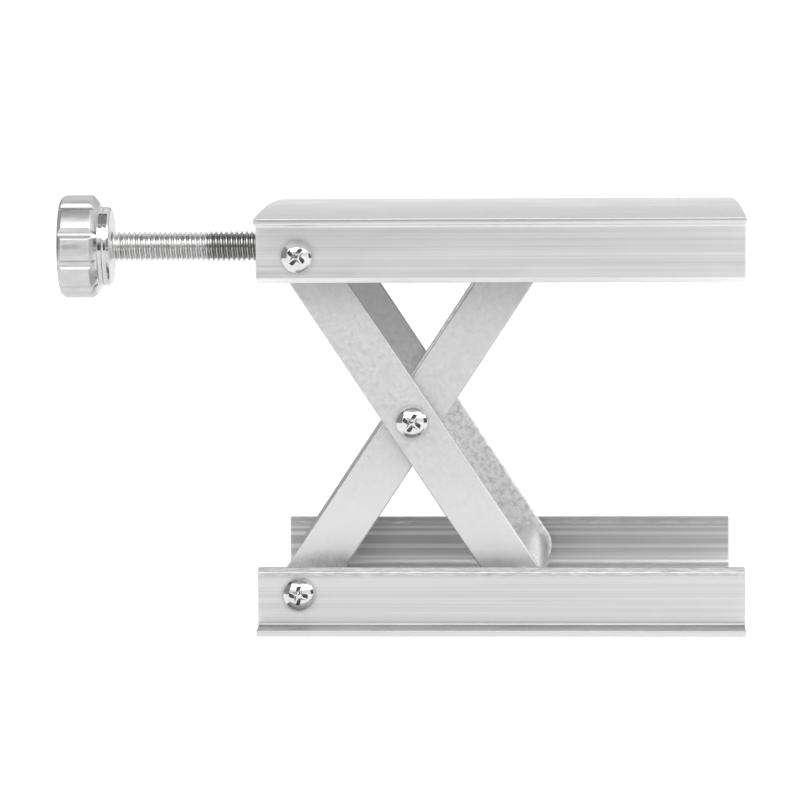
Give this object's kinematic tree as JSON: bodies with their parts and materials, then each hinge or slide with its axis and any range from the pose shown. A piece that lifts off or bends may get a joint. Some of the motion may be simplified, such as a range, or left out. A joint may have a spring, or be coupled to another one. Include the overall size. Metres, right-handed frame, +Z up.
{
  "type": "lab jack",
  "caption": "Small scissor lift table: crowned metal platform and base channel joined by crossed arms, raised and lowered by a lead screw with a fluted knob.",
  "frame": {"origin": "centre of the base channel's underside", "axes": "+X along the lead screw away from the knob, -Y the near side, +Z up"},
  "size_m": [0.1313, 0.1, 0.0798],
  "materials": {
    "extruded_aluminium": "mill-finish extrusion with fine lengthwise lines",
    "plated_arm": "dull zinc-plated sheet with a fine crystalline mottle",
    "rod_steel": "bright drawn rod",
    "screw_nickel": "bright nickel plate",
    "zinc_hardware": "bright zinc plate",
    "thread_steel": "rolled thread, bright on the crests and dark in the roots",
    "knob_chrome": "mirror chrome",
    "spacer_nylon": "natural nylon"
  },
  "bodies": {
    "base": {"base_channel": "extruded_aluminium", "lower_fixed_rod": "rod_steel", "wall_screw_lower_near": "screw_nickel", "wall_screw_lower_far": "screw_nickel", "spacer_lower_near": "spacer_nylon", "spacer_lower_far": "spacer_nylon"},
    "inner_arms": {"inner_arm_near": "plated_arm", "inner_arm_far": "plated_arm"},
    "outer_arms": {"outer_arm_near": "plated_arm", "outer_arm_far": "plated_arm", "lower_slide_rod": "rod_steel", "slide_washer_lower_near": "zinc_hardware", "slide_washer_lower_far": "zinc_hardware", "slide_screw_lower_near": "screw_nickel", "slide_screw_lower_far": "screw_nickel", "centre_screw_near": "screw_nickel", "centre_screw_far": "screw_nickel", "centre_nut_near": "zinc_hardware", "centre_nut_far": "zinc_hardware"},
    "platform": {"platform_channel": "extruded_aluminium", "upper_nut_rod": "rod_steel", "wall_screw_upper_near": "screw_nickel", "wall_screw_upper_far": "screw_nickel", "spacer_upper_near": "spacer_nylon", "spacer_upper_far": "spacer_nylon"},
    "upper_slider": {"upper_slide_rod": "rod_steel", "slide_washer_upper_near": "zinc_hardware", "slide_washer_upper_far": "zinc_hardware", "slide_screw_upper_near": "screw_nickel", "slide_screw_upper_far": "screw_nickel"},
    "screw": {"lead_screw": "thread_steel", "thrust_washer": "zinc_hardware", "retaining_clip": "zinc_hardware", "knob": "knob_chrome", "knob_lock_ring": "knob_chrome"}
  },
  "joints": [
    {"name": "knob_turn", "type": "hinge", "parent": "upper_slider", "child": "screw", "pos_m": [0.00421, 0, 0.06979], "axis": [1, 0, 0], "range_deg": [-1090, 10420]},
    {"name": "arm_fold", "type": "hinge", "parent": "base", "child": "inner_arms", "pos_m": [-0.0374, 0, 0.00715], "axis": [0, 1, 0], "range_deg": [-3.6, 34.4]},
    {"name": "arm_cross", "type": "hinge", "parent": "inner_arms", "child": "outer_arms", "pos_m": [-0.01659, 0, 0.03847], "axis": [0, 1, 0], "range_deg": [-68.8, 7.2]},
    {"name": "platform_level", "type": "hinge", "parent": "outer_arms", "child": "platform", "pos_m": [-0.0374, 0, 0.06979], "axis": [0, 1, 0], "range_deg": [-3.6, 34.4]},
    {"name": "slider_level", "type": "hinge", "parent": "inner_arms", "child": "upper_slider", "pos_m": [0.00421, 0, 0.06979], "axis": [0, 1, 0], "range_deg": [-34.4, 3.6]}
  ],
  "couplings": [
    {"joint": "arm_fold", "follows": "knob_turn", "ratio": 0.0033},
    {"joint": "arm_cross", "follows": "knob_turn", "ratio": -0.0066},
    {"joint": "platform_level", "follows": "knob_turn", "ratio": 0.0033},
    {"joint": "slider_level", "follows": "knob_turn", "ratio": -0.0033}
  ]
}
